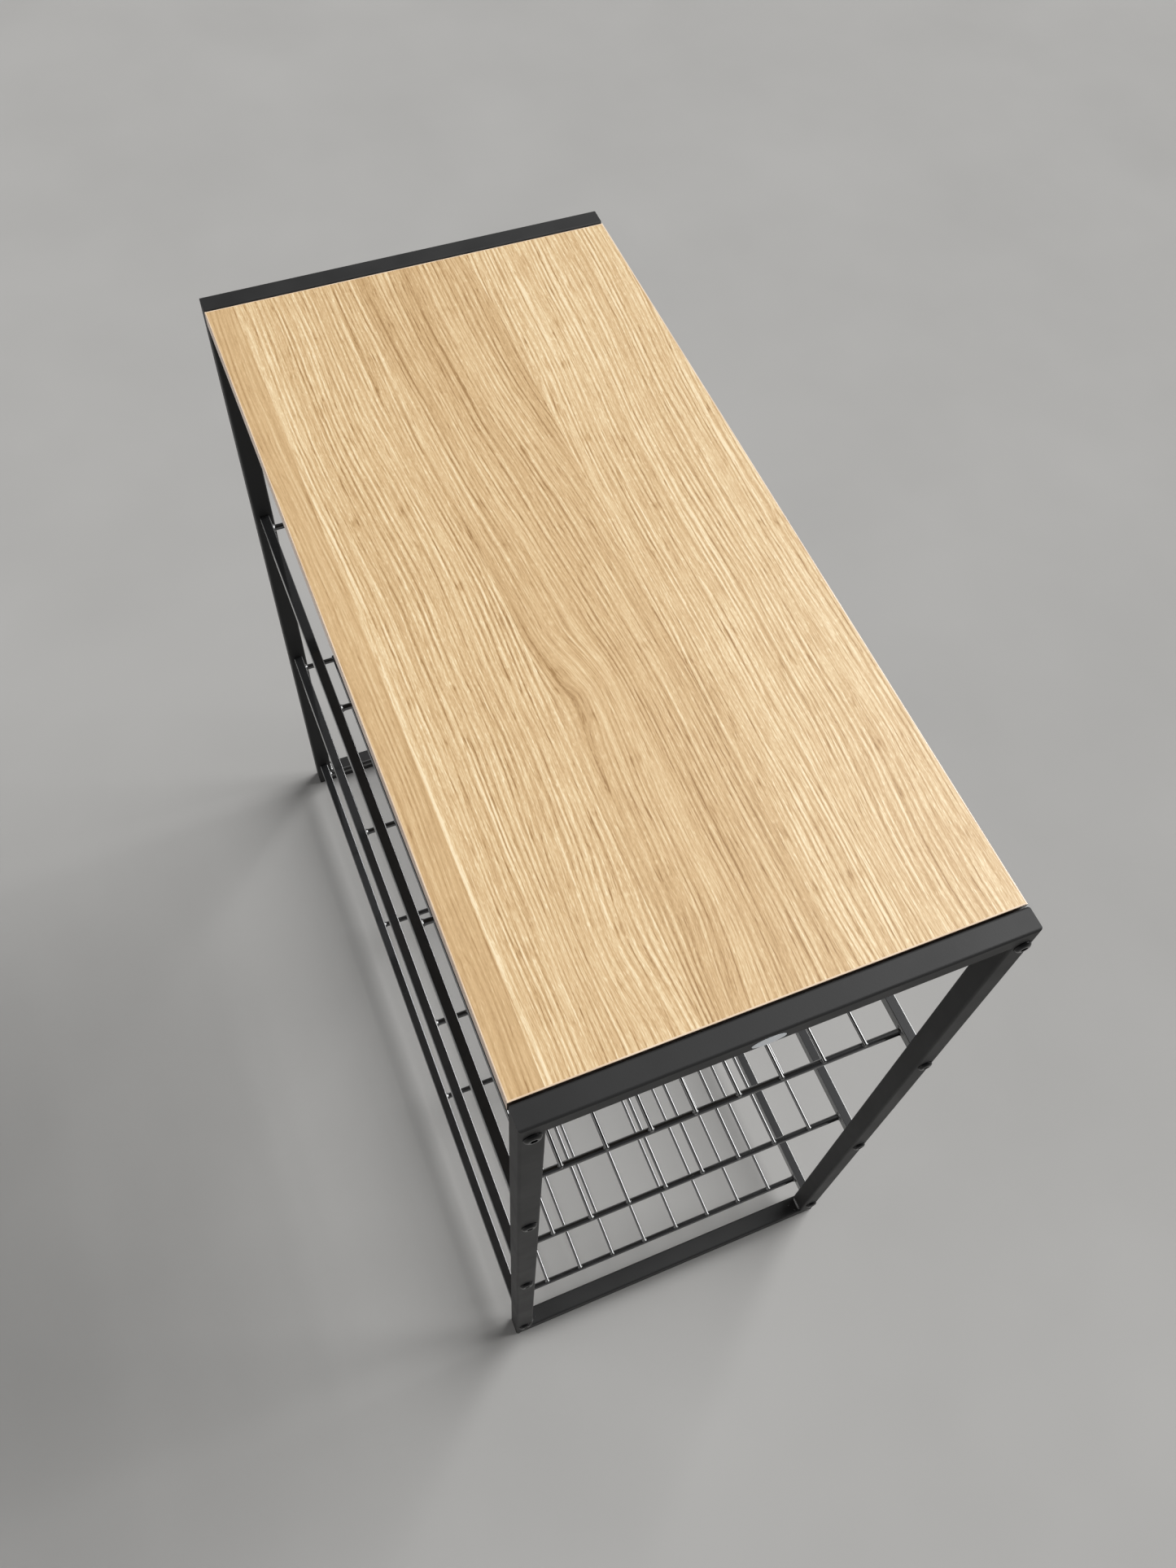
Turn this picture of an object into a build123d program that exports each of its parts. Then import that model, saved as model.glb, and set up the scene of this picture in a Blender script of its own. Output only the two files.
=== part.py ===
"""Entryway bench: a laminated board between two welded end frames, with three wire shelves.

Millimetres, +Z up. X runs along the bench, the front faces -Y, and the origin is on the
floor under the middle of the bench. "Right" is the +X end as seen from the front.
"""
import os

from build123d import *

# Overall size
LENGTH = 632.0
WIDTH = 300.0
HEIGHT = 645.0

# End frames: square tube with mitred and welded corners
TUBE = 15.0
TUBE_WALL = 1.2
TUBE_RADIUS = 1.8

# Board that makes the seat, with an edge band on all four sides
BOARD_LENGTH = 600.0
BOARD_THICKNESS = 12.0
BAND = 1.0
BAND_ROUNDING = 0.5

# Square bars: two under the board and two on each shelf
BAR = 8.0
BAR_RADIUS = 0.8

# Wire shelves, by the height of their bars' centre lines
LOWEST_SHELF = 32.0
SHELF_PITCH = 199.0
SHELF_NAMES = ("lower", "middle", "upper")
ROD_DIAMETER = 5.0
ROD_COUNT = 4
END_ROD_INSET = 12.0
WIRE_DIAMETER = 3.0
WIRE_COUNT = 8
WIRE_PITCH = 31.6
WIRE_LENGTH = 581.0
WIRE_END_ROUNDING = 0.5
WELD_SINK = 0.4

# M6 button head bolts through the legs into the bars' tapped ends
BOLT_DIAMETER = 6.0
BOLT_CLEARANCE = 6.5
BOLT_LENGTH = 30.0
BOLT_TIP_CHAMFER = 0.7
HEAD_DIAMETER = 10.5
HEAD_HEIGHT = 2.4
HEAD_RIM = 0.5
HEAD_FLAT_RADIUS = 2.7
HEAD_BULGE = 0.4
SOCKET_ACROSS_FLATS = 4.0
SOCKET_DEPTH = 1.5
TAPPED_DEPTH = 18.0

# Pan head wood screws up through the board bars into the board
SCREW_DIAMETER = 3.5
SCREW_CLEARANCE = 4.0
SCREW_LENGTH = 16.0
SCREW_HEAD_DIAMETER = 7.0
SCREW_HEAD_HEIGHT = 2.2
SCREW_HEAD_ROUNDING = 1.2
SCREW_TIP_LENGTH = 3.0
SCREW_SLOT = 0.9
SCREW_SLOT_DEPTH = 1.1
SCREW_SPACING = 250.0

# Blank oval label on the right end's top tube
LABEL_LENGTH = 20.0
LABEL_HEIGHT = 10.0
LABEL_THICKNESS = 0.2
LABEL_Y = -13.0
LABEL_Z = HEIGHT - TUBE / 2 - 0.5

# Worked out from the above
END_X = LENGTH / 2
LEG_X = END_X - TUBE / 2
LEG_Y = WIDTH / 2 - TUBE / 2
BAR_LENGTH = LENGTH - 2 * TUBE
BOARD_BAR_Z = HEIGHT - BOARD_THICKNESS - BAR / 2
SHELF_Z = [LOWEST_SHELF + SHELF_PITCH * level for level in range(len(SHELF_NAMES))]
BOLT_Z = SHELF_Z + [BOARD_BAR_Z]
ROD_LENGTH = 2 * (LEG_Y - BAR / 2)
ROD_PITCH = (BAR_LENGTH - 2 * END_ROD_INSET) / (ROD_COUNT - 1)
WIRE_RISE = (ROD_DIAMETER + WIRE_DIAMETER) / 2 - WELD_SINK

ENDS = {"left": -1, "right": 1}
SIDES = {"front": -1, "rear": 1}


def save(part, name):
    """Label one finished piece and write its STEP file."""
    part.label = name
    export_step(part, f"parts/{name}.step")


def end_plane(end, y, z):
    """Plane on the outer face of an end frame: X along the width, Y up for the right end."""
    return Plane(origin=(end * END_X, y, z), x_dir=(0, end, 0), z_dir=(end, 0, 0))


def tube_section():
    """Square hollow section of the end frames, in the current sketch."""
    RectangleRounded(TUBE, TUBE, TUBE_RADIUS)
    inside = TUBE - 2 * TUBE_WALL
    RectangleRounded(inside, inside, TUBE_RADIUS - TUBE_WALL, mode=Mode.SUBTRACT)


def make_leg(end, side):
    """Upright tube, mitred at both ends, with a clear hole at each bolt height."""
    outer_y = side * WIDTH / 2
    with BuildPart() as leg:
        with BuildSketch(Plane((end * LEG_X, side * LEG_Y, 0))):
            tube_section()
        extrude(amount=HEIGHT)
        split(bisect_by=Plane((end * LEG_X, outer_y, HEIGHT), z_dir=(0, -side, 1)), keep=Keep.BOTTOM)
        split(bisect_by=Plane((end * LEG_X, outer_y, 0), z_dir=(0, -side, -1)), keep=Keep.BOTTOM)
        with BuildSketch(end_plane(end, side * LEG_Y, 0)):
            with Locations(*[(0, z) for z in BOLT_Z]):
                Circle(BOLT_CLEARANCE / 2)
        extrude(amount=-TUBE, mode=Mode.SUBTRACT)
    return leg.part


def make_cross_tube(end, outer_z, upward):
    """Top or bottom tube of an end frame, mitred at both ends to meet the legs."""
    centre_z = outer_z - upward * TUBE / 2
    with BuildPart() as cross_tube:
        with BuildSketch(Plane(origin=(end * LEG_X, -WIDTH / 2, centre_z), x_dir=(1, 0, 0), z_dir=(0, 1, 0))):
            tube_section()
        extrude(amount=WIDTH)
        for side in SIDES.values():
            mitre = Plane((end * LEG_X, side * WIDTH / 2, outer_z), z_dir=(0, side, -upward))
            split(bisect_by=mitre, keep=Keep.BOTTOM)
    return cross_tube.part


def make_bar(side, z):
    """Solid square bar between the legs, with a tapped hole in each end."""
    with BuildPart() as bar:
        with BuildSketch(Plane.YZ.offset(-BAR_LENGTH / 2)):
            with Locations((side * LEG_Y, z)):
                RectangleRounded(BAR, BAR, BAR_RADIUS)
        extrude(amount=BAR_LENGTH)
        for end in ENDS.values():
            face = Plane(origin=(end * BAR_LENGTH / 2, side * LEG_Y, z), z_dir=(end, 0, 0))
            with BuildSketch(face):
                Circle(BOLT_DIAMETER / 2)
            extrude(amount=-TAPPED_DEPTH, mode=Mode.SUBTRACT)
    return bar.part


def screw_points(side):
    """Plan positions of the wood screws along one board bar."""
    return [(step * SCREW_SPACING, side * LEG_Y) for step in (-1, 0, 1)]


def make_board_bar(side):
    """Bar under the board, drilled for the wood screws."""
    with BuildPart() as board_bar:
        add(make_bar(side, BOARD_BAR_Z))
        with BuildSketch(Plane.XY.offset(BOARD_BAR_Z - BAR / 2)):
            with Locations(*screw_points(side)):
                Circle(SCREW_CLEARANCE / 2)
        extrude(amount=BAR, mode=Mode.SUBTRACT)
    return board_bar.part


def make_screw():
    """Slotted pan head wood screw, upright, with its head's seat at Z = 0 and its tip up."""
    core_length = SCREW_LENGTH - SCREW_TIP_LENGTH
    with BuildPart() as screw:
        with BuildSketch(Plane.XY):
            Circle(SCREW_DIAMETER / 2)
        extrude(amount=core_length)
        with BuildSketch(Plane.XY.offset(core_length)):
            Circle(SCREW_DIAMETER / 2)
        extrude(amount=SCREW_TIP_LENGTH, taper=25)
        with BuildSketch(Plane.XY):
            Circle(SCREW_HEAD_DIAMETER / 2)
        extrude(amount=-SCREW_HEAD_HEIGHT)
        rim = screw.edges().filter_by(GeomType.CIRCLE).sort_by(Axis.Z)[0]
        fillet(rim, SCREW_HEAD_ROUNDING)
        with BuildSketch(Plane.XY.offset(-SCREW_HEAD_HEIGHT)):
            Rectangle(SCREW_HEAD_DIAMETER, SCREW_SLOT)
        extrude(amount=SCREW_SLOT_DEPTH, mode=Mode.SUBTRACT)
    return screw.part


def make_screw_set():
    """All the wood screws, in place under the board bars."""
    screw = make_screw()
    seat_z = BOARD_BAR_Z - BAR / 2
    spots = [Location((x, y, seat_z)) for side in SIDES.values() for x, y in screw_points(side)]
    with BuildPart() as screw_set:
        with Locations(*spots):
            add(screw)
    return screw_set.part


def make_board():
    """Chipboard core with its laminate, less the edge bands, with pilot holes from below."""
    with BuildPart() as board:
        with BuildSketch(Plane.XY.offset(HEIGHT - BOARD_THICKNESS)):
            Rectangle(BOARD_LENGTH - 2 * BAND, WIDTH - 2 * BAND)
        extrude(amount=BOARD_THICKNESS)
        with Locations((0, 0, BOARD_BAR_Z - BAR / 2)):
            for side in SIDES.values():
                with Locations(*screw_points(side)):
                    add(make_screw(), mode=Mode.SUBTRACT)
    return board.part


def make_long_band(side):
    """Edge band on the front or rear of the board, with its outer edges eased."""
    with BuildPart() as band:
        with BuildSketch(Plane.XY.offset(HEIGHT - BOARD_THICKNESS)):
            with Locations((0, side * (WIDTH - BAND) / 2)):
                Rectangle(BOARD_LENGTH, BAND)
        extrude(amount=BOARD_THICKNESS)
        outer = band.edges().filter_by(Axis.X).sort_by(Axis.Y)
        outer = outer[-2:] if side > 0 else outer[:2]
        fillet(outer, BAND_ROUNDING)
    return band.part


def make_end_band(end):
    """Edge band on one end of the board, between the two long bands."""
    with BuildPart() as band:
        with BuildSketch(Plane.XY.offset(HEIGHT - BOARD_THICKNESS)):
            with Locations((end * (BOARD_LENGTH - BAND) / 2, 0)):
                Rectangle(BAND, WIDTH - 2 * BAND)
        extrude(amount=BOARD_THICKNESS)
        outer = band.edges().filter_by(Axis.Y).sort_by(Axis.X)
        outer = outer[-2:] if end > 0 else outer[:2]
        fillet(outer, BAND_ROUNDING)
    return band.part


def wire_sketch(z):
    """End view of a shelf's wires, in the current sketch on a plane across the bench."""
    with Locations((0, z + WIRE_RISE)):
        with GridLocations(WIRE_PITCH, 0, WIRE_COUNT, 1):
            Circle(WIRE_DIAMETER / 2)


def make_wires(z):
    """Long wires of one shelf, laid across the rods, with eased ends."""
    with BuildPart() as wires:
        with BuildSketch(Plane.YZ.offset(-WIRE_LENGTH / 2)):
            wire_sketch(z)
        extrude(amount=WIRE_LENGTH)
        fillet(wires.edges().filter_by(GeomType.CIRCLE), WIRE_END_ROUNDING)
    return wires.part


def make_rods(z):
    """Cross rods of one shelf, between its bars, seated for the wires welded onto them."""
    with BuildPart() as rods:
        with BuildSketch(Plane.XZ.offset(-ROD_LENGTH / 2)):
            with Locations((0, z)):
                with GridLocations(ROD_PITCH, 0, ROD_COUNT, 1):
                    Circle(ROD_DIAMETER / 2)
        extrude(amount=ROD_LENGTH)
        with BuildSketch(Plane.YZ.offset(-LENGTH / 2)):
            wire_sketch(z)
        extrude(amount=LENGTH, mode=Mode.SUBTRACT)
    return rods.part


def make_bolt():
    """Button head bolt with a hex socket, upright, with its head's seat at Z = 0."""
    shank = BOLT_DIAMETER / 2
    rim = HEAD_DIAMETER / 2
    dome_middle = ((rim + HEAD_FLAT_RADIUS) / 2 + HEAD_BULGE, (HEAD_RIM + HEAD_HEIGHT) / 2 + HEAD_BULGE)
    with BuildPart() as bolt:
        with BuildSketch(Plane.XZ):
            with BuildLine():
                Polyline(
                    (HEAD_FLAT_RADIUS, HEAD_HEIGHT),
                    (0, HEAD_HEIGHT),
                    (0, -BOLT_LENGTH),
                    (shank - BOLT_TIP_CHAMFER, -BOLT_LENGTH),
                    (shank, BOLT_TIP_CHAMFER - BOLT_LENGTH),
                    (shank, 0),
                    (rim, 0),
                    (rim, HEAD_RIM),
                )
                ThreePointArc((rim, HEAD_RIM), dome_middle, (HEAD_FLAT_RADIUS, HEAD_HEIGHT))
            make_face()
        revolve(axis=Axis.Z)
        with BuildSketch(Plane.XY.offset(HEAD_HEIGHT)):
            RegularPolygon(SOCKET_ACROSS_FLATS / 2, 6, major_radius=False)
        extrude(amount=-SOCKET_DEPTH, mode=Mode.SUBTRACT)
    return bolt.part


def make_bolt_set(z):
    """The four bolts at one height, one through each leg."""
    bolt = make_bolt()
    seats = [end_plane(end, side * LEG_Y, z) for end in ENDS.values() for side in SIDES.values()]
    with BuildPart() as bolt_set:
        with Locations(*[seat.location for seat in seats]):
            add(bolt)
    return bolt_set.part


def make_label():
    """Blank oval sticker on the outer face of the right end's top tube."""
    with BuildPart() as label:
        with BuildSketch(end_plane(1, LABEL_Y, LABEL_Z)):
            Ellipse(LABEL_LENGTH / 2, LABEL_HEIGHT / 2)
        extrude(amount=LABEL_THICKNESS)
    return label.part


def build_end_frames():
    for end_name, end in ENDS.items():
        save(make_cross_tube(end, HEIGHT, 1), f"{end_name}_top_tube")
        save(make_cross_tube(end, 0, -1), f"{end_name}_bottom_tube")
        for side_name, side in SIDES.items():
            save(make_leg(end, side), f"{end_name}_{side_name}_leg")


def build_seat():
    save(make_board(), "seat_board")
    for side_name, side in SIDES.items():
        save(make_long_band(side), f"{side_name}_edge_band")
        save(make_board_bar(side), f"{side_name}_board_bar")
    for end_name, end in ENDS.items():
        save(make_end_band(end), f"{end_name}_edge_band")
    save(make_screw_set(), "board_screws")
    save(make_bolt_set(BOARD_BAR_Z), "board_bar_bolts")


def build_shelves():
    for shelf_name, z in zip(SHELF_NAMES, SHELF_Z):
        for side_name, side in SIDES.items():
            save(make_bar(side, z), f"{shelf_name}_shelf_{side_name}_bar")
        save(make_rods(z), f"{shelf_name}_shelf_rods")
        save(make_wires(z), f"{shelf_name}_shelf_wires")
        save(make_bolt_set(z), f"{shelf_name}_shelf_bolts")


os.makedirs("parts", exist_ok=True)
build_end_frames()
build_seat()
build_shelves()
save(make_label(), "oval_label")
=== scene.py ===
"""Looks of the entryway bench: an oak laminate seat board on two black end frames, over three wire shelves.

Everything is in metres in the CAD frame: +X runs along the bench, -Y is its front, +Z is up.
Materials work in millimetres, because grain, coating texture and welds have millimetre sizes.
"""

import math
import random

import bmesh
import bpy
from mathutils import Matrix, Vector, noise


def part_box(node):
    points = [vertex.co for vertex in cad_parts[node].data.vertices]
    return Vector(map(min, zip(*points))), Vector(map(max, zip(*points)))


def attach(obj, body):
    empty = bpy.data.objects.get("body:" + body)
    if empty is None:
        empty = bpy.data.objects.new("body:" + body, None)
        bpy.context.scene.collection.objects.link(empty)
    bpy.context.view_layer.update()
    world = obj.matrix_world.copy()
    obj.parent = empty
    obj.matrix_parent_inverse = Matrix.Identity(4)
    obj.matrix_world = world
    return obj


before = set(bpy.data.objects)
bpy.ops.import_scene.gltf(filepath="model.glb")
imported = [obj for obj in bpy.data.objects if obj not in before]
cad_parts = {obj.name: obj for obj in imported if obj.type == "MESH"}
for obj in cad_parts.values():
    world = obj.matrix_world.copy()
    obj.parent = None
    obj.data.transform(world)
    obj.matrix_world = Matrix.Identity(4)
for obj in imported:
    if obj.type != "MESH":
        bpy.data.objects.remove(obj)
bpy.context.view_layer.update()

MM = 0.001
BODY = "root"

SHELVES = ("lower", "middle", "upper")
SIDES = ("left", "right")


# ---------------------------------------------------------------- material building blocks

# How fast a bell falls off: at one width from its centre it is down to exp(-1.6 squared), about 0.08.
BELL_STEEPNESS = 1.6


def linear(red, green, blue):
    """A colour given in 0-255 screen values, as the linear colour that a shader socket takes."""
    channels = []
    for value in (red, green, blue):
        value /= 255
        channels.append(value / 12.92 if value <= 0.04045 else ((value + 0.055) / 1.055) ** 2.4)
    return (*channels, 1.0)


class Shader:
    """One node material. Each pattern method adds a node and gives back its output."""

    def __init__(self, name, roughness, colour=(0.5, 0.5, 0.5, 1.0), **sockets):
        self.material = bpy.data.materials.new(name)
        self.material.use_nodes = True
        self.tree = self.material.node_tree
        self.surface = self.tree.nodes["Principled BSDF"]
        self.surface.inputs["Roughness"].default_value = roughness
        self.surface.inputs["Base Color"].default_value = colour
        for socket, value in sockets.items():
            self.surface.inputs[socket].default_value = value

    def put(self, node, **inputs):
        """Fills a node's inputs, by name or as i0, i1 and so on. Another node's output becomes a link."""
        for name, value in inputs.items():
            numbered = name[1:].isdigit()
            socket = node.inputs[int(name[1:])] if numbered else node.inputs[name]
            if isinstance(value, bpy.types.NodeSocket):
                self.tree.links.new(value, socket)
            else:
                socket.default_value = value
        return node

    def node(self, kind, **settings):
        made = self.tree.nodes.new(kind)
        for name, value in settings.items():
            setattr(made, name, value)
        return made

    def math(self, operation, first, second=0.0):
        made = self.node("ShaderNodeMath", operation=operation)
        return self.put(made, i0=first, i1=second).outputs[0]

    def add(self, *terms):
        total = terms[0]
        for term in terms[1:]:
            total = self.math("ADD", total, term)
        return total

    def times(self, first, second):
        return self.math("MULTIPLY", first, second)

    def position(self):
        """The surface point in the row frame, as x, y and z in millimetres."""
        coordinates = self.node("ShaderNodeTexCoord").outputs["Object"]
        scaled = self.node("ShaderNodeVectorMath", operation="SCALE")
        self.put(scaled, i0=coordinates, Scale=1 / MM)
        split = self.node("ShaderNodeSeparateXYZ")
        return tuple(self.put(split, i0=scaled.outputs[0]).outputs)

    def noise(self, point, sizes, detail=0.0, roughness=0.5):
        """Smooth noise round 0.5, whose features have the given size in mm along each axis of the point."""
        shrunk = [self.times(place, 1 / size) for place, size in zip(point, sizes)]
        vector = self.put(self.node("ShaderNodeCombineXYZ"), **dict(zip("XYZ", shrunk))).outputs[0]
        made = self.node("ShaderNodeTexNoise")
        self.put(made, Vector=vector, Scale=1.0, Detail=detail, Roughness=roughness)
        return made.outputs["Fac"]

    def step(self, value, start, end, low=0.0, high=1.0):
        """Goes smoothly from low to high as value goes from start to end."""
        made = self.node("ShaderNodeMapRange", interpolation_type="SMOOTHSTEP")
        self.put(made, i0=value, i1=start, i2=end, i3=low, i4=high)
        return made.outputs[0]

    def bell(self, value, centre, width):
        """A smooth hump, 1 at the centre and almost 0 one width away."""
        away = self.times(self.math("SUBTRACT", value, centre), BELL_STEEPNESS / width)
        return self.math("POWER", math.e, self.times(self.times(away, away), -1.0))

    def ramp(self, value, *stops):
        """Colours by value: each stop is a place and a 0-255 screen colour."""
        made = self.node("ShaderNodeValToRGB")
        elements = made.color_ramp.elements
        while len(elements) < len(stops):
            elements.new(0.5)
        for element, (place, colour) in zip(elements, stops):
            element.position = place
            element.color = linear(*colour)
        return self.put(made, Fac=value).outputs["Color"]

    def mix(self, share, first, second):
        """The first colour where share is 0, the second where it is 1."""
        made = self.node("ShaderNodeMix", data_type="RGBA")
        return self.put(made, i0=share, i6=first, i7=second).outputs[2]

    def colour(self, value):
        self.tree.links.new(value, self.surface.inputs["Base Color"])

    def roughness(self, value):
        self.tree.links.new(value, self.surface.inputs["Roughness"])

    def bump(self, height, depth):
        """A height from 0 to 1 becomes a relief of that depth in millimetres."""
        made = self.node("ShaderNodeBump")
        self.put(made, Height=height, Distance=depth * MM, Strength=1.0)
        self.tree.links.new(made.outputs[0], self.surface.inputs["Normal"])


# ---------------------------------------------------------------- oak laminate

# The board's printed planks, in mm: two seams across its width, and a pale stripe near its front edge.
board_low, board_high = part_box("seat_board")
BOARD_FRONT = board_low.y / MM
BOARD_WIDTH = (board_high.y - board_low.y) / MM
REAR_SEAM = BOARD_FRONT + 0.64 * BOARD_WIDTH
NEAR_REAR_SEAM = (REAR_SEAM - 22, REAR_SEAM + 16)
FRONT_SEAM = BOARD_FRONT + 0.355 * BOARD_WIDTH
STRIPE_REAR = BOARD_FRONT + 0.082 * BOARD_WIDTH
STRIPE_FRONT = BOARD_FRONT + 0.0645 * BOARD_WIDTH
STRIPE_BLUR = 0.25
STRIPE_SHADOW = (STRIPE_FRONT - 0.7, 1.1)
BOARD_UNDERSIDE = board_low.z / MM
BOARD_TOP = board_high.z / MM

# How far the print of one plank is shifted along the board, in mm, so that no two have the same streaks.
REAR_SHIFT = 310.0
FRONT_SHIFT = 640.0
STRIPE_SHIFT = 290.0

# Growth rings show as dark lines this far apart, in mm. RING_WANDER is how much the spacing varies.
RING_PITCH = 3.6
RING_WANDER = 1.4

# Figures in the print, as bells: centre and width in mm, along x and then across y.
ARCH = ((78, 120), (-20, 30))
TONGUE = ((215, 105), (-33, 15))

# The heartwood left of the middle: where it begins and is full along x, and its bell across y.
LEFT_HEART = ((-60, -260), (-24, 22))

# The rear plank is paler: with a sharp seam on the left, and a soft one on the right of REAR_FADE.
REAR_FADE = (-150, 60)
REAR_PALENESS = 0.11

# How much each kind of line lightens the print, whose colours run from 0 to 1.
GRAIN_STRENGTHS = {
    "rings": 0.60,
    "threads": 0.115,
    "dashes": 0.12,
    "fibres": 0.07,
    "specks": 0.42,
    "flecks": 0.2,
    "hairs": -0.36,
}
GRAIN_LEVEL = 0.015
GRAIN_CONTRAST = 0.93

# How deep the grain is pressed into the laminate, in mm.
GRAIN_RELIEF = 0.06

# How strong the broad bands of light and dark are, and how much stronger on the middle plank.
BAND_STRENGTH = 0.20
MIDDLE_BAND_STRENGTH = 0.34

OAK_COLOURS = (
    (0.0, (161, 125, 79)),
    (0.18, (187, 152, 106)),
    (0.5, (211, 178, 132)),
    (0.83, (232, 206, 163)),
    (1.0, (244, 224, 187)),
)
# Painted shade: the board's underside is coloured dark for the shade under the board, which also darkens
# its reflections in the bars and rods.
UNDERSIDE_SHADE_COLOURS = ((0.3, (74, 64, 54)), (0.7, (92, 80, 68)))


class Planks:
    """Which plank of the print a point lies on. Each mask is 1 there and 0 elsewhere."""

    def __init__(self, s, y):
        self.rear = s.math("GREATER_THAN", y, REAR_SEAM)
        self.near_rear = s.step(y, *NEAR_REAR_SEAM)
        self.front = s.math("LESS_THAN", y, FRONT_SEAM)
        self.middle = s.math("SUBTRACT", 1.0, s.add(self.rear, self.front))
        self.past_stripe = s.math("LESS_THAN", y, STRIPE_FRONT)
        fading = s.step(y, STRIPE_REAR + STRIPE_BLUR, STRIPE_REAR - STRIPE_BLUR)
        self.stripe = s.times(fading, s.math("GREATER_THAN", y, STRIPE_FRONT))


def grain_rise(s, x, *rises):
    """The sum of smooth rises along the board: each is (start, end, height), in mm."""
    return s.add(*(s.step(x, start, end, 0, height) for start, end, height in rises))


def oak_flow(s, x, y, planks):
    """How far the grain lines rise, in mm, where they bend round the figures of each plank."""
    rear = s.add(
        grain_rise(s, x, (-230, -60, -9)),
        s.times(grain_rise(s, x, (140, 260, -7)), s.bell(y, 105, 45)),
        grain_rise(s, x, (-330, -200, -3)),
    )
    arch = grain_rise(s, x, (36, 88, 9), (96, 180, -4.5), (230, 320, -8))
    hook = grain_rise(s, x, (78, 90, 2.2), (96, 130, -2.2))
    middle = s.add(
        grain_rise(s, x, (-230, 110, 17)),
        s.times(arch, s.bell(y, -16, 36)),
        s.times(hook, s.bell(y, -27, 13)),
    )
    front = s.add(
        grain_rise(s, x, (-180, 10, 8)),
        s.times(grain_rise(s, x, (90, 250, -8)), s.bell(y, -72, 40)),
        s.times(grain_rise(s, x, (235, 300, 5)), s.bell(y, -68, 50)),
    )
    return s.add(s.times(rear, planks.rear), s.times(middle, planks.middle), s.times(front, planks.front))


def oak_streaks(s, point, planks):
    """Gives a function that makes noise drawn out along the grain, and the place across the grain."""
    x, y, z = point
    shift = s.add(
        s.times(planks.rear, REAR_SHIFT),
        s.times(planks.front, FRONT_SHIFT),
        s.times(planks.past_stripe, STRIPE_SHIFT),
    )
    along = s.add(x, shift)
    wander = s.math("SUBTRACT", s.noise((along, y, z), (110, 30, 1)), 0.5)
    waver = s.math("SUBTRACT", s.noise((along, y, z), (24, 9, 1)), 0.5)
    drift = s.add(s.times(wander, 4.5), s.times(waver, 0.6))
    across = s.math("SUBTRACT", y, s.add(oak_flow(s, x, y, planks), drift))

    def streaks(length, width):
        """Noise round 0 whose features have that length and width in mm."""
        return s.math("SUBTRACT", s.noise((along, across, z), (length, width, 1)), 0.5)

    return streaks, across


def oak_lines(s, streaks, across):
    """The lines of the print, each as a pattern round 0 or from 0 to 1."""
    phase = s.add(s.times(across, 1 / RING_PITCH), s.times(streaks(260, 7), RING_WANDER))
    depth = s.step(streaks(120, 7), -0.2, 0.2, 0.35, 1.15)
    wave = s.math("ABSOLUTE", s.math("SINE", s.times(phase, math.pi)))
    hair_lines = s.step(s.math("ABSOLUTE", streaks(70, 3.0)), 0.05, 0.0)
    return {
        "rings": s.times(s.add(wave, -2 / math.pi), depth),
        "threads": s.step(streaks(170, 1.5), -0.2, 0.2, -1, 1),
        "dashes": s.step(streaks(26, 1.3), -0.22, 0.22, -1, 1),
        "fibres": s.step(streaks(9, 0.7), -0.2, 0.2, -1, 1),
        "specks": streaks(2.4, 0.42),
        "flecks": s.step(streaks(4.5, 0.8), 0.1, 0.24),
        "hairs": s.times(hair_lines, s.step(streaks(12, 1.5), -0.1, 0.1)),
    }


def oak_tint(s, x, y, planks):
    """How much paler each plank, the stripe and the heartwood are than the middle of the colours."""
    tongue = s.times(s.bell(x, *TONGUE[0]), s.bell(y, *TONGUE[1]))
    left_heart = s.times(s.step(x, *LEFT_HEART[0]), s.bell(y, *LEFT_HEART[1]))
    return s.add(
        s.times(s.step(x, *REAR_FADE, REAR_PALENESS, 0.0), planks.rear),
        s.times(s.step(x, *REAR_FADE, 0.0, REAR_PALENESS), planks.near_rear),
        s.times(planks.middle, -0.05),
        s.times(planks.front, 0.05),
        s.times(planks.stripe, 0.17),
        s.times(planks.past_stripe, -0.11),
        s.times(s.bell(y, *STRIPE_SHADOW), -0.14),
        s.times(tongue, -0.09),
        s.times(left_heart, -0.07),
    )


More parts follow.
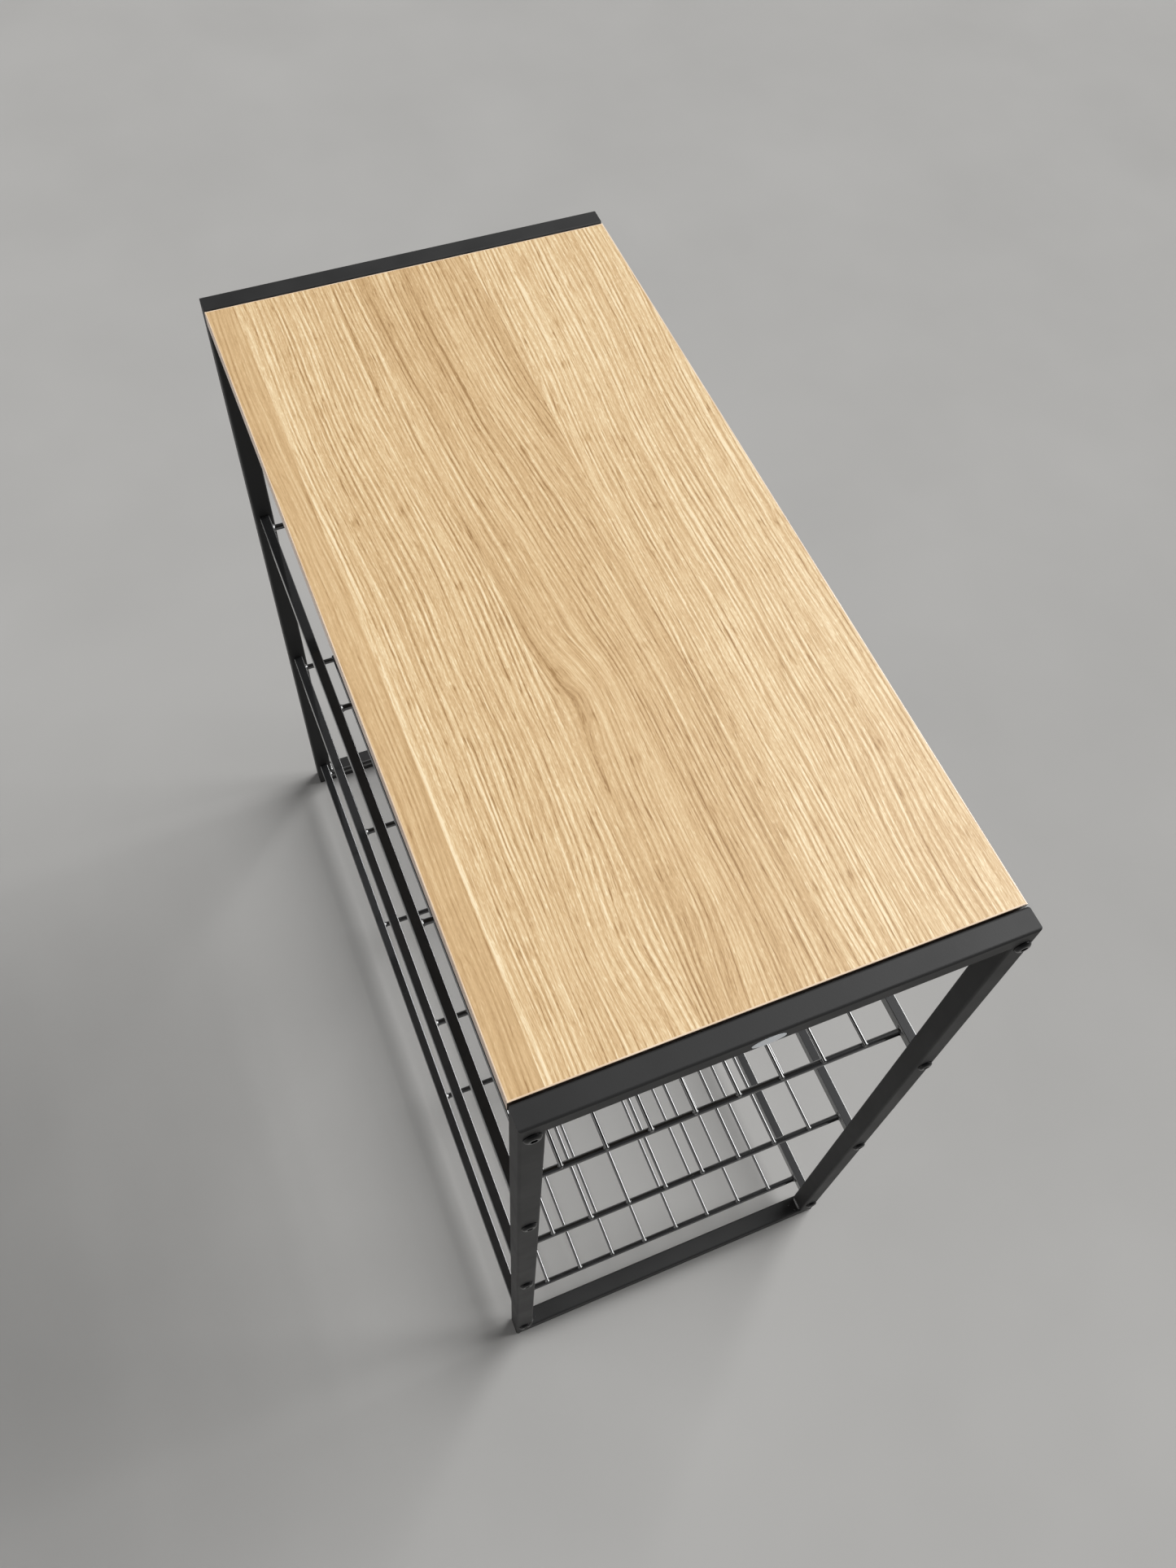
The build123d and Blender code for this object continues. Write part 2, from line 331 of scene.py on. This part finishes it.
def make_oak(name):
    """Printed oak laminate: wavy grain along the board, on planks with straight seams; the underside is
    painted dark as painted shade under the board.
    """
    s = Shader(name, 0.45, IOR=1.5)
    x, y, z = s.position()
    planks = Planks(s, y)
    streaks, across = oak_streaks(s, (x, y, z), planks)

    figure = s.times(s.times(s.bell(x, *ARCH[0]), s.bell(y, *ARCH[1])), planks.middle)
    broad_rings = s.step(streaks(60, 4.2), -0.16, 0.16, -0.07, 0.07)
    feathers = s.step(s.math("ABSOLUTE", streaks(34, 2.2)), 0.05, 0.0, 0.0, 0.2)
    figure_tone = s.times(s.add(broad_rings, feathers), figure)

    lines = oak_lines(s, streaks, across)
    strengths = GRAIN_STRENGTHS.items()
    grain = s.add(*(s.times(lines[kind], strength) for kind, strength in strengths), GRAIN_LEVEL)
    calm = s.add(
        s.times(planks.stripe, 0.1),
        s.times(planks.past_stripe, 0.42),
        s.times(planks.middle, 0.10),
        s.times(figure, 0.25),
    )
    grain = s.times(grain, s.math("SUBTRACT", GRAIN_CONTRAST, calm))

    band_strength = s.add(BAND_STRENGTH, s.times(planks.middle, MIDDLE_BAND_STRENGTH))
    bands = s.times(streaks(260, 16), band_strength)
    tone = s.add(0.5, bands, grain, figure_tone, oak_tint(s, x, y, planks))
    # Painted shade: the underside takes these dark colours.
    underside_shade = s.ramp(s.noise((x, y), (9, 9), 4.0, 0.7), *UNDERSIDE_SHADE_COLOURS)
    underneath = s.math("LESS_THAN", z, BOARD_UNDERSIDE + 0.1)
    s.colour(s.mix(underneath, s.ramp(tone, *OAK_COLOURS), underside_shade))
    s.roughness(s.step(lines["dashes"], -0.3, 0.3, 0.50, 0.42))
    s.bump(grain, GRAIN_RELIEF)
    return s.material


# ---------------------------------------------------------------- the other materials

# Where the edge band gets painted colour, in mm: painted shade on its faces in the gaps by the end tubes,
# and a pale upper arris that is partly trimmed plastic and partly a painted highlight.
BOARD_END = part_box("right_edge_band")[1].x / MM
TUBE_GAP_DEPTH = 0.15
ARRIS_DEPTH = 0.25

BAND_COLOURS = ((0.25, (183, 148, 122)), (0.5, (209, 176, 149)), (0.75, (224, 196, 168)))
# Painted shade for the dark gaps between the end bands and the tubes.
TUBE_GAP_SHADE_COLOURS = ((0.25, (64, 50, 41)), (0.75, (92, 74, 60)))
# The upper arris: paler trimmed plastic, with a painted highlight in it.
TRIMMED_AND_HIGHLIGHT_COLOURS = ((0.25, (216, 187, 154)), (0.75, (242, 221, 196)))

BAND_GLOSS = {"IOR": 1.42, "Coat Weight": 0.7, "Coat Roughness": 0.16}

# Where it is dusty, black paint is up to this many times paler on the screen.
DUSTY = 1.5


def make_edge_band(name):
    """Plastic edging in a pinker brown, with a pale upper arris (trimmed plastic and a painted highlight),
    and painted shade where it faces a tube.
    """
    s = Shader(name, 0.42, **BAND_GLOSS)
    x, y, z = s.position()
    along = s.add(x, y)
    streaks = s.noise((along, z, along), (60, 0.9, 200), 2.0, 0.6)
    specks = s.noise((along, z), (6, 0.35), 1.0)
    tone = s.add(s.times(streaks, 0.8), s.times(specks, 0.2))
    # Painted shade on the band's faces in the gaps by the end tubes.
    in_tube_gap = s.math("GREATER_THAN", s.math("ABSOLUTE", x), BOARD_END - TUBE_GAP_DEPTH)
    # Pale upper arris: partly trimmed plastic, partly a painted highlight.
    on_arris = s.math("GREATER_THAN", z, BOARD_TOP - ARRIS_DEPTH)
    side = s.mix(in_tube_gap, s.ramp(tone, *BAND_COLOURS), s.ramp(tone, *TUBE_GAP_SHADE_COLOURS))
    s.colour(s.mix(on_arris, side, s.ramp(tone, *TRIMMED_AND_HIGHLIGHT_COLOURS)))
    s.roughness(s.step(streaks, 0.3, 0.7, 0.38, 0.48))
    return s.material


def make_coat(name, colour, roughness, peel_size=0.0, peel_depth=0.0, **sockets):
    """Black paint on steel: duller patches, a trace of dust, and orange peel with sizes in mm."""
    s = Shader(name, roughness, linear(*colour), **sockets)
    point = s.position()
    clouds = s.noise(point, (38, 38, 38), 3.0, 0.55)
    dust = s.step(s.noise(point, (1.9, 1.9, 1.9), 2.0, 0.6), 0.62, 0.78)
    shade = s.add(s.times(clouds, 0.75), s.times(dust, 0.25))
    pale = [value * DUSTY for value in colour]
    s.colour(s.ramp(shade, (0.2, colour), (0.75, pale)))
    s.roughness(s.step(clouds, 0.25, 0.75, roughness - 0.04, roughness + 0.05))
    if peel_depth:
        s.bump(s.noise(point, (peel_size, peel_size, peel_size), 2.0, 0.45), peel_depth)
    return s.material


def make_zinc(name):
    """Zinc plated steel: bright grey with a faint mottled tint."""
    s = Shader(name, 0.3, linear(196, 196, 190), Metallic=1.0)
    mottle = s.noise(s.position(), (2.5, 2.5, 2.5), 3.0, 0.6)
    s.colour(s.ramp(mottle, (0.3, (176, 176, 172)), (0.7, (206, 205, 196))))
    s.roughness(s.step(mottle, 0.3, 0.7, 0.24, 0.38))
    return s.material


def make_label(name):
    """A blank white film with a faint bluish cast."""
    s = Shader(name, 0.35, linear(243, 248, 253), IOR=1.46)
    mottle = s.noise(s.position(), (3, 3, 3), 2.0, 0.5)
    s.colour(s.ramp(mottle, (0.3, (240, 246, 252)), (0.7, (247, 251, 254))))
    return s.material


GLOSSY = {"IOR": 1.6, "Coat Weight": 1.0, "Coat Roughness": 0.07, "Coat IOR": 1.6}
BAR_GLOSS = GLOSSY | {"IOR": 1.45, "Coat IOR": 2.0}
WIRE_GLOSS = GLOSSY | {"IOR": 1.4, "Coat IOR": 1.95}
MATERIALS = {
    "powder_coat": make_coat("powder_coat", (24, 24, 24), 0.58, 1.1, 0.02, IOR=1.46),
    "bar_coat": make_coat("bar_coat", (9, 10, 11), 0.42, 1.3, 0.006, **BAR_GLOSS),
    "wire_coat": make_coat("wire_coat", (9, 9, 9), 0.3, 1.6, 0.004, **WIRE_GLOSS),
    "black_bolt": make_coat("black_bolt", (8, 8, 9), 0.14, IOR=1.42),
    "oak_laminate": make_oak("oak_laminate"),
    "edge_band": make_edge_band("edge_band"),
    "zinc_plate": make_zinc("zinc_plate"),
    "label": make_label("label"),
}
WELD_COAT = make_coat("weld_coat", (24, 24, 24), 0.2, **GLOSSY)

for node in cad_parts.values():
    for place in node.material_slots:
        place.material = MATERIALS[place.material.name]


# ---------------------------------------------------------------- welds

# Sizes in mm that the boxes of the CAD nodes don't give by themselves.
TUBE = 15
TUBE_ROUNDING = 1.8
ROD_RADIUS = 2.5
WIRE_RADIUS = 1.5
RODS = 4
WIRES = 8

# Weld metal goes this deep into the steel, in mm, and a lump's size varies by this share.
BURIED = 0.4
UNEVENNESS = 0.22

# Flares where a rod meets a bar, in mm: their reach along the rod, and how far they spread onto the
# bar, with more of it along the bar and a little wobble.
FLARE_REACH = (2.4, 3.8)
FLARE_SPREAD = 1.25
FLARE_STRETCH = 0.9
FLARE_WOBBLE = 0.15

# Fillets in the frames' corners: leg and ripple spacing in mm, and as shares of the leg how deep the
# ripples are, how small the ends are, and how fast they grow. Flatness 1 is a straight face, 0 a round one.
FILLET_LEG = (2.0, 2.8)
RIPPLE = 1.7
RIPPLE_DEPTH = 0.06
FILLET_END = 0.55
FILLET_GROWTH = 3.0
FILLET_FLATNESS = 0.55

# Spatter and foot welds, in mm: radii, and where they are.
SPATTER_PER_CORNER = 3
SPATTER_RADIUS = (0.35, 0.75)
SPATTER_FLATNESS = 0.7
SPATTER_REACH = (4, 13)
SPATTER_MARGIN = 3
FOOT_WELD_HEIGHTS = (2.2, 4.6, 7.0)
FOOT_WELD_INSET = 0.2
FOOT_WELD_RADII = (0.55, (1.4, 2.0), (1.0, 1.5))

# Nuggets between a rod and a wire, and the rounded ends of the wires, in mm.
NUGGET_RADII = ((1.5, 2.1), (2.0, 2.4), 0.8)
NUGGET_DROP = 1.25
WIRE_END_RADII = (1.3, 1.75, 1.7)
WIRE_END_INSET = 0.7
WIRE_END_DROP = 0.15

# How finely it is meshed.
FLARE_CORNERS = 20
BEAD_STATIONS = 40
PROFILE_STEPS = 8


def add_piece(name, mesh, material):
    """Makes a bmesh into a smooth piece of the bench, with the given material."""
    data = bpy.data.meshes.new(name)
    bmesh.ops.recalc_face_normals(mesh, faces=mesh.faces)
    for face in mesh.faces:
        face.smooth = True
    mesh.to_mesh(data)
    mesh.free()
    data.materials.append(material)
    piece = bpy.data.objects.new(name, data)
    bpy.context.scene.collection.objects.link(piece)
    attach(piece, BODY)


def skin(mesh, rings):
    """Joins rings of points into a closed tube with a flat face on each end."""
    rings = [[mesh.verts.new(point) for point in ring] for ring in rings]
    for ring, after in zip(rings, rings[1:]):
        for i in range(len(ring)):
            j = (i + 1) % len(ring)
            mesh.faces.new((ring[i], ring[j], after[j], after[i]))
    mesh.faces.new(rings[0])
    mesh.faces.new(rings[-1])


def add_lump(mesh, centre, radii, draws, fineness=2):
    """A rounded lump of weld metal, a little uneven. Radii are in mm."""
    offset = Vector((draws.uniform(0, 50), draws.uniform(0, 50), draws.uniform(0, 50)))
    ball = bmesh.ops.create_icosphere(mesh, subdivisions=fineness, radius=1.0)
    for vertex in ball["verts"]:
        swell = 1 + UNEVENNESS * noise.noise(vertex.co * 1.3 + offset)
        vertex.co = Vector(centre) + Vector(r * MM * c * swell for r, c in zip(radii, vertex.co))


def add_flare(mesh, end, inward, draws):
    """Weld metal round the end of a rod: from the rod's own radius it spreads out onto the bar."""
    reach = draws.uniform(*FLARE_REACH)
    turn = draws.uniform(0, 2 * math.pi)
    rings = []
    for step in range(-1, PROFILE_STEPS + 1):
        angle = max(step, 0) / PROFILE_STEPS * math.pi / 2
        away = -BURIED if step < 0 else reach * (1 - math.cos(angle))
        ring = []
        for corner in range(FLARE_CORNERS):
            around = 2 * math.pi * corner / FLARE_CORNERS
            wobble = FLARE_WOBBLE * math.sin(3 * around + turn)
            spread = FLARE_SPREAD + FLARE_STRETCH * math.cos(around) ** 2 + wobble
            radius = ROD_RADIUS - 0.04 + spread * (1 - math.sin(angle))
            point = Vector((radius * math.cos(around), inward * away, radius * math.sin(around)))
            ring.append(end + point * MM)
        rings.append(ring)
    skin(mesh, rings)


def add_bead(mesh, start, end, out, up, leg, draws):
    """A rippled fillet bead along an inside corner, from start to end. Its leg is in mm."""
    length = (end - start).length / MM
    turn = draws.uniform(0, 2 * math.pi)
    rings = []
    for station in range(BEAD_STATIONS + 1):
        share = station / BEAD_STATIONS
        taper = min(1.0, FILLET_END + FILLET_GROWTH * min(share, 1 - share))
        ripple = 1 + RIPPLE_DEPTH * math.sin(2 * math.pi * share * length / RIPPLE + turn)
        size = leg * taper * ripple
        ring = [-BURIED * (out + up), size * out - BURIED * up]
        for step in range(PROFILE_STEPS + 1):
            angle = step / PROFILE_STEPS * math.pi / 2
            straight = 1 / (math.cos(angle) + math.sin(angle))
            bulge = 1 - FILLET_FLATNESS + FILLET_FLATNESS * straight
            ring.append(size * bulge * (math.cos(angle) * out + math.sin(angle) * up))
        ring.append(size * up - BURIED * out)
        at = start.lerp(end, share)
        rings.append([at + point * MM for point in ring])
    skin(mesh, rings)


def add_spatter(mesh, corner, inward, bottom, draws):
    """Small drops of metal on the bottom tube, beside the weld at one of its corners."""
    bottom_low, bottom_high = bottom
    for _ in range(SPATTER_PER_CORNER):
        across = draws.uniform(bottom_low.x + SPATTER_MARGIN * MM, bottom_high.x - SPATTER_MARGIN * MM)
        along = corner + inward * draws.uniform(*SPATTER_REACH) * MM
        size = draws.uniform(*SPATTER_RADIUS)
        add_lump(mesh, (across, along, bottom_high.z), (size, size, size * SPATTER_FLATNESS), draws)


def add_foot_weld(mesh, corner, inward, outer, out, draws):
    """What is left of the ground weld on the outer face of a foot, along its mitre."""
    depth, widths, rises = FOOT_WELD_RADII
    for height in FOOT_WELD_HEIGHTS:
        x = outer - out * FOOT_WELD_INSET * MM
        y = corner - inward * (TUBE - height) * MM
        radii = (depth, draws.uniform(*widths), draws.uniform(*rises))
        add_lump(mesh, (x, y, height * MM), radii, draws)


def add_frame_welds(side):
    """The fillets in an end frame's four inside corners, spatter by the lower ones, and its foot welds."""
    draws = random.Random(side + " frame")
    bottom_low, bottom_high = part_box(side + "_bottom_tube")
    top_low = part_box(side + "_top_tube")[0]
    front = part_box(side + "_front_leg")[1].y
    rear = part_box(side + "_rear_leg")[0].y
    out = 1 if side == "right" else -1
    outer = bottom_high.x if side == "right" else bottom_low.x
    mesh = bmesh.new()
    for corner, inward in ((front, 1), (rear, -1)):
        for height, up in ((bottom_high.z, 1), (top_low.z, -1)):
            start = Vector((bottom_low.x + TUBE_ROUNDING * MM, corner, height))
            end = Vector((bottom_high.x - TUBE_ROUNDING * MM, corner, height))
            leg = draws.uniform(*FILLET_LEG)
            add_bead(mesh, start, end, Vector((0, inward, 0)), Vector((0, 0, up)), leg, draws)
        add_spatter(mesh, corner, inward, (bottom_low, bottom_high), draws)
        add_foot_weld(mesh, corner, inward, outer, out, draws)
    add_piece(side + "_frame_welds", mesh, WELD_COAT)


def add_shelf_welds(shelf):
    """Flares where a shelf's rods meet its bars, nuggets where wires cross rods, and rounded wire ends."""
    draws = random.Random(shelf + " shelf")
    rod_low, rod_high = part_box(shelf + "_shelf_rods")
    wire_low, wire_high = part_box(shelf + "_shelf_wires")
    rod_z = (rod_low.z + rod_high.z) / 2
    wire_z = (wire_low.z + wire_high.z) / 2
    rod_first = rod_low.x + ROD_RADIUS * MM
    rod_last = rod_high.x - ROD_RADIUS * MM
    wire_first = wire_low.y + WIRE_RADIUS * MM
    wire_last = wire_high.y - WIRE_RADIUS * MM
    rod_places = [rod_first + (rod_last - rod_first) * rod / (RODS - 1) for rod in range(RODS)]
    wire_places = [wire_first + (wire_last - wire_first) * wire / (WIRES - 1) for wire in range(WIRES)]
    contact = wire_z - NUGGET_DROP * MM
    lengths, widths, thickness = NUGGET_RADII
    mesh = bmesh.new()
    for x in rod_places:
        add_flare(mesh, Vector((x, rod_low.y, rod_z)), 1, draws)
        add_flare(mesh, Vector((x, rod_high.y, rod_z)), -1, draws)
        for y in wire_places:
            radii = (draws.uniform(*lengths), draws.uniform(*widths), thickness)
            add_lump(mesh, (x, y, contact), radii, draws)
    for y in wire_places:
        for x in (wire_low.x + WIRE_END_INSET * MM, wire_high.x - WIRE_END_INSET * MM):
            add_lump(mesh, (x, y, wire_z - WIRE_END_DROP * MM), WIRE_END_RADII, draws, 3)
    add_piece(shelf + "_shelf_welds", mesh, MATERIALS["wire_coat"])


for side in SIDES:
    add_frame_welds(side)
for shelf in SHELVES:
    add_shelf_welds(shelf)


# ---------------------------------------------------------------- floor, light and camera

# The floor's side in metres, and how many squares it has along it.
FLOOR_SIZE = 60.0
FLOOR_SQUARES = 60

# The air behind the floor: strengths at the horizon and overhead, how high the change ends, and colour.
AIR_HORIZON = 0.41
AIR_ZENITH = 0.14
AIR_TOP = 0.55
AIR_COLOUR = (0.98, 0.985, 1.0, 1.0)

# Lights: the direction they come from, their width in degrees, and their strength.
WINDOW = ((-0.5, 2.6, 1.65), 50, 5.1)
FILL = ((-0.8, -3.2, 1.25), 60, 0.75)
FILL_COLOUR = (1.0, 0.99, 0.97)

# The camera: where it is and looks, in metres, its roll in degrees and its lens in mm.
CAMERA_PLACE = (0.483, -0.2146, 1.2809)
CAMERA_TARGET = (0, 0.0298, 0.3683)
CAMERA_ROLL = 5.33
CAMERA_LENS = 30.35
SENSOR_WIDTH = 36


def make_floor():
    """A plain pale studio floor."""
    mesh = bpy.data.meshes.new("studio_floor")
    grid = bmesh.new()
    bmesh.ops.create_grid(grid, x_segments=FLOOR_SQUARES, y_segments=FLOOR_SQUARES, size=FLOOR_SIZE / 2)
    grid.to_mesh(mesh)
    grid.free()
    floor = bpy.data.objects.new("studio_floor", mesh)
    bpy.context.scene.collection.objects.link(floor)
    s = Shader("studio_floor", 1.0, IOR=1.1)
    x, y, _ = s.position()
    clouds = s.noise((x, y), (260, 260), 3.0, 0.5)
    s.colour(s.ramp(clouds, (0.3, (165, 164, 162)), (0.7, (170, 169, 167))))
    mesh.materials.append(s.material)


def add_soft_light(name, towards, width_degrees, strength, colour=(1.0, 1.0, 1.0)):
    """Even light from a wide round patch of sky, which lies in the given direction from the bench."""
    data = bpy.data.lights.new(name, "SUN")
    data.angle = math.radians(width_degrees)
    data.energy = strength
    data.color = colour
    light = bpy.data.objects.new(name, data)
    light.location = towards
    light.rotation_euler = Vector(towards).to_track_quat("Z", "Y").to_euler()
    bpy.context.scene.collection.objects.link(light)


def add_world():
    """Air that is pale round the horizon, like a studio wall, and darker overhead."""
    world = bpy.data.worlds.new("studio_air")
    world.use_nodes = True
    tree = world.node_tree
    direction = tree.nodes.new("ShaderNodeTexCoord")
    split = tree.nodes.new("ShaderNodeSeparateXYZ")
    height = tree.nodes.new("ShaderNodeMapRange")
    height.interpolation_type = "SMOOTHSTEP"
    tree.links.new(direction.outputs["Generated"], split.inputs[0])
    tree.links.new(split.outputs["Z"], height.inputs["Value"])
    height.inputs["From Min"].default_value = 0.0
    height.inputs["From Max"].default_value = AIR_TOP
    height.inputs["To Min"].default_value = AIR_HORIZON
    height.inputs["To Max"].default_value = AIR_ZENITH
    background = tree.nodes["Background"]
    background.inputs["Color"].default_value = AIR_COLOUR
    tree.links.new(height.outputs[0], background.inputs["Strength"])
    bpy.context.scene.world = world


def add_camera():
    """A hand-held view from above the front right corner, a little rolled."""
    data = bpy.data.cameras.new("camera")
    data.lens = CAMERA_LENS
    data.sensor_width = SENSOR_WIDTH
    camera = bpy.data.objects.new("camera", data)
    gaze = (Vector(CAMERA_TARGET) - Vector(CAMERA_PLACE)).to_track_quat("-Z", "Y").to_matrix().to_4x4()
    roll = Matrix.Rotation(math.radians(CAMERA_ROLL), 4, "Z")
    camera.matrix_world = Matrix.Translation(CAMERA_PLACE) @ gaze @ roll
    bpy.context.scene.collection.objects.link(camera)
    bpy.context.scene.camera = camera


make_floor()
add_soft_light("window_light", *WINDOW)
add_soft_light("fill_light", *FILL, FILL_COLOUR)
add_world()
add_camera()
bpy.context.scene.view_settings.view_transform = "Standard"
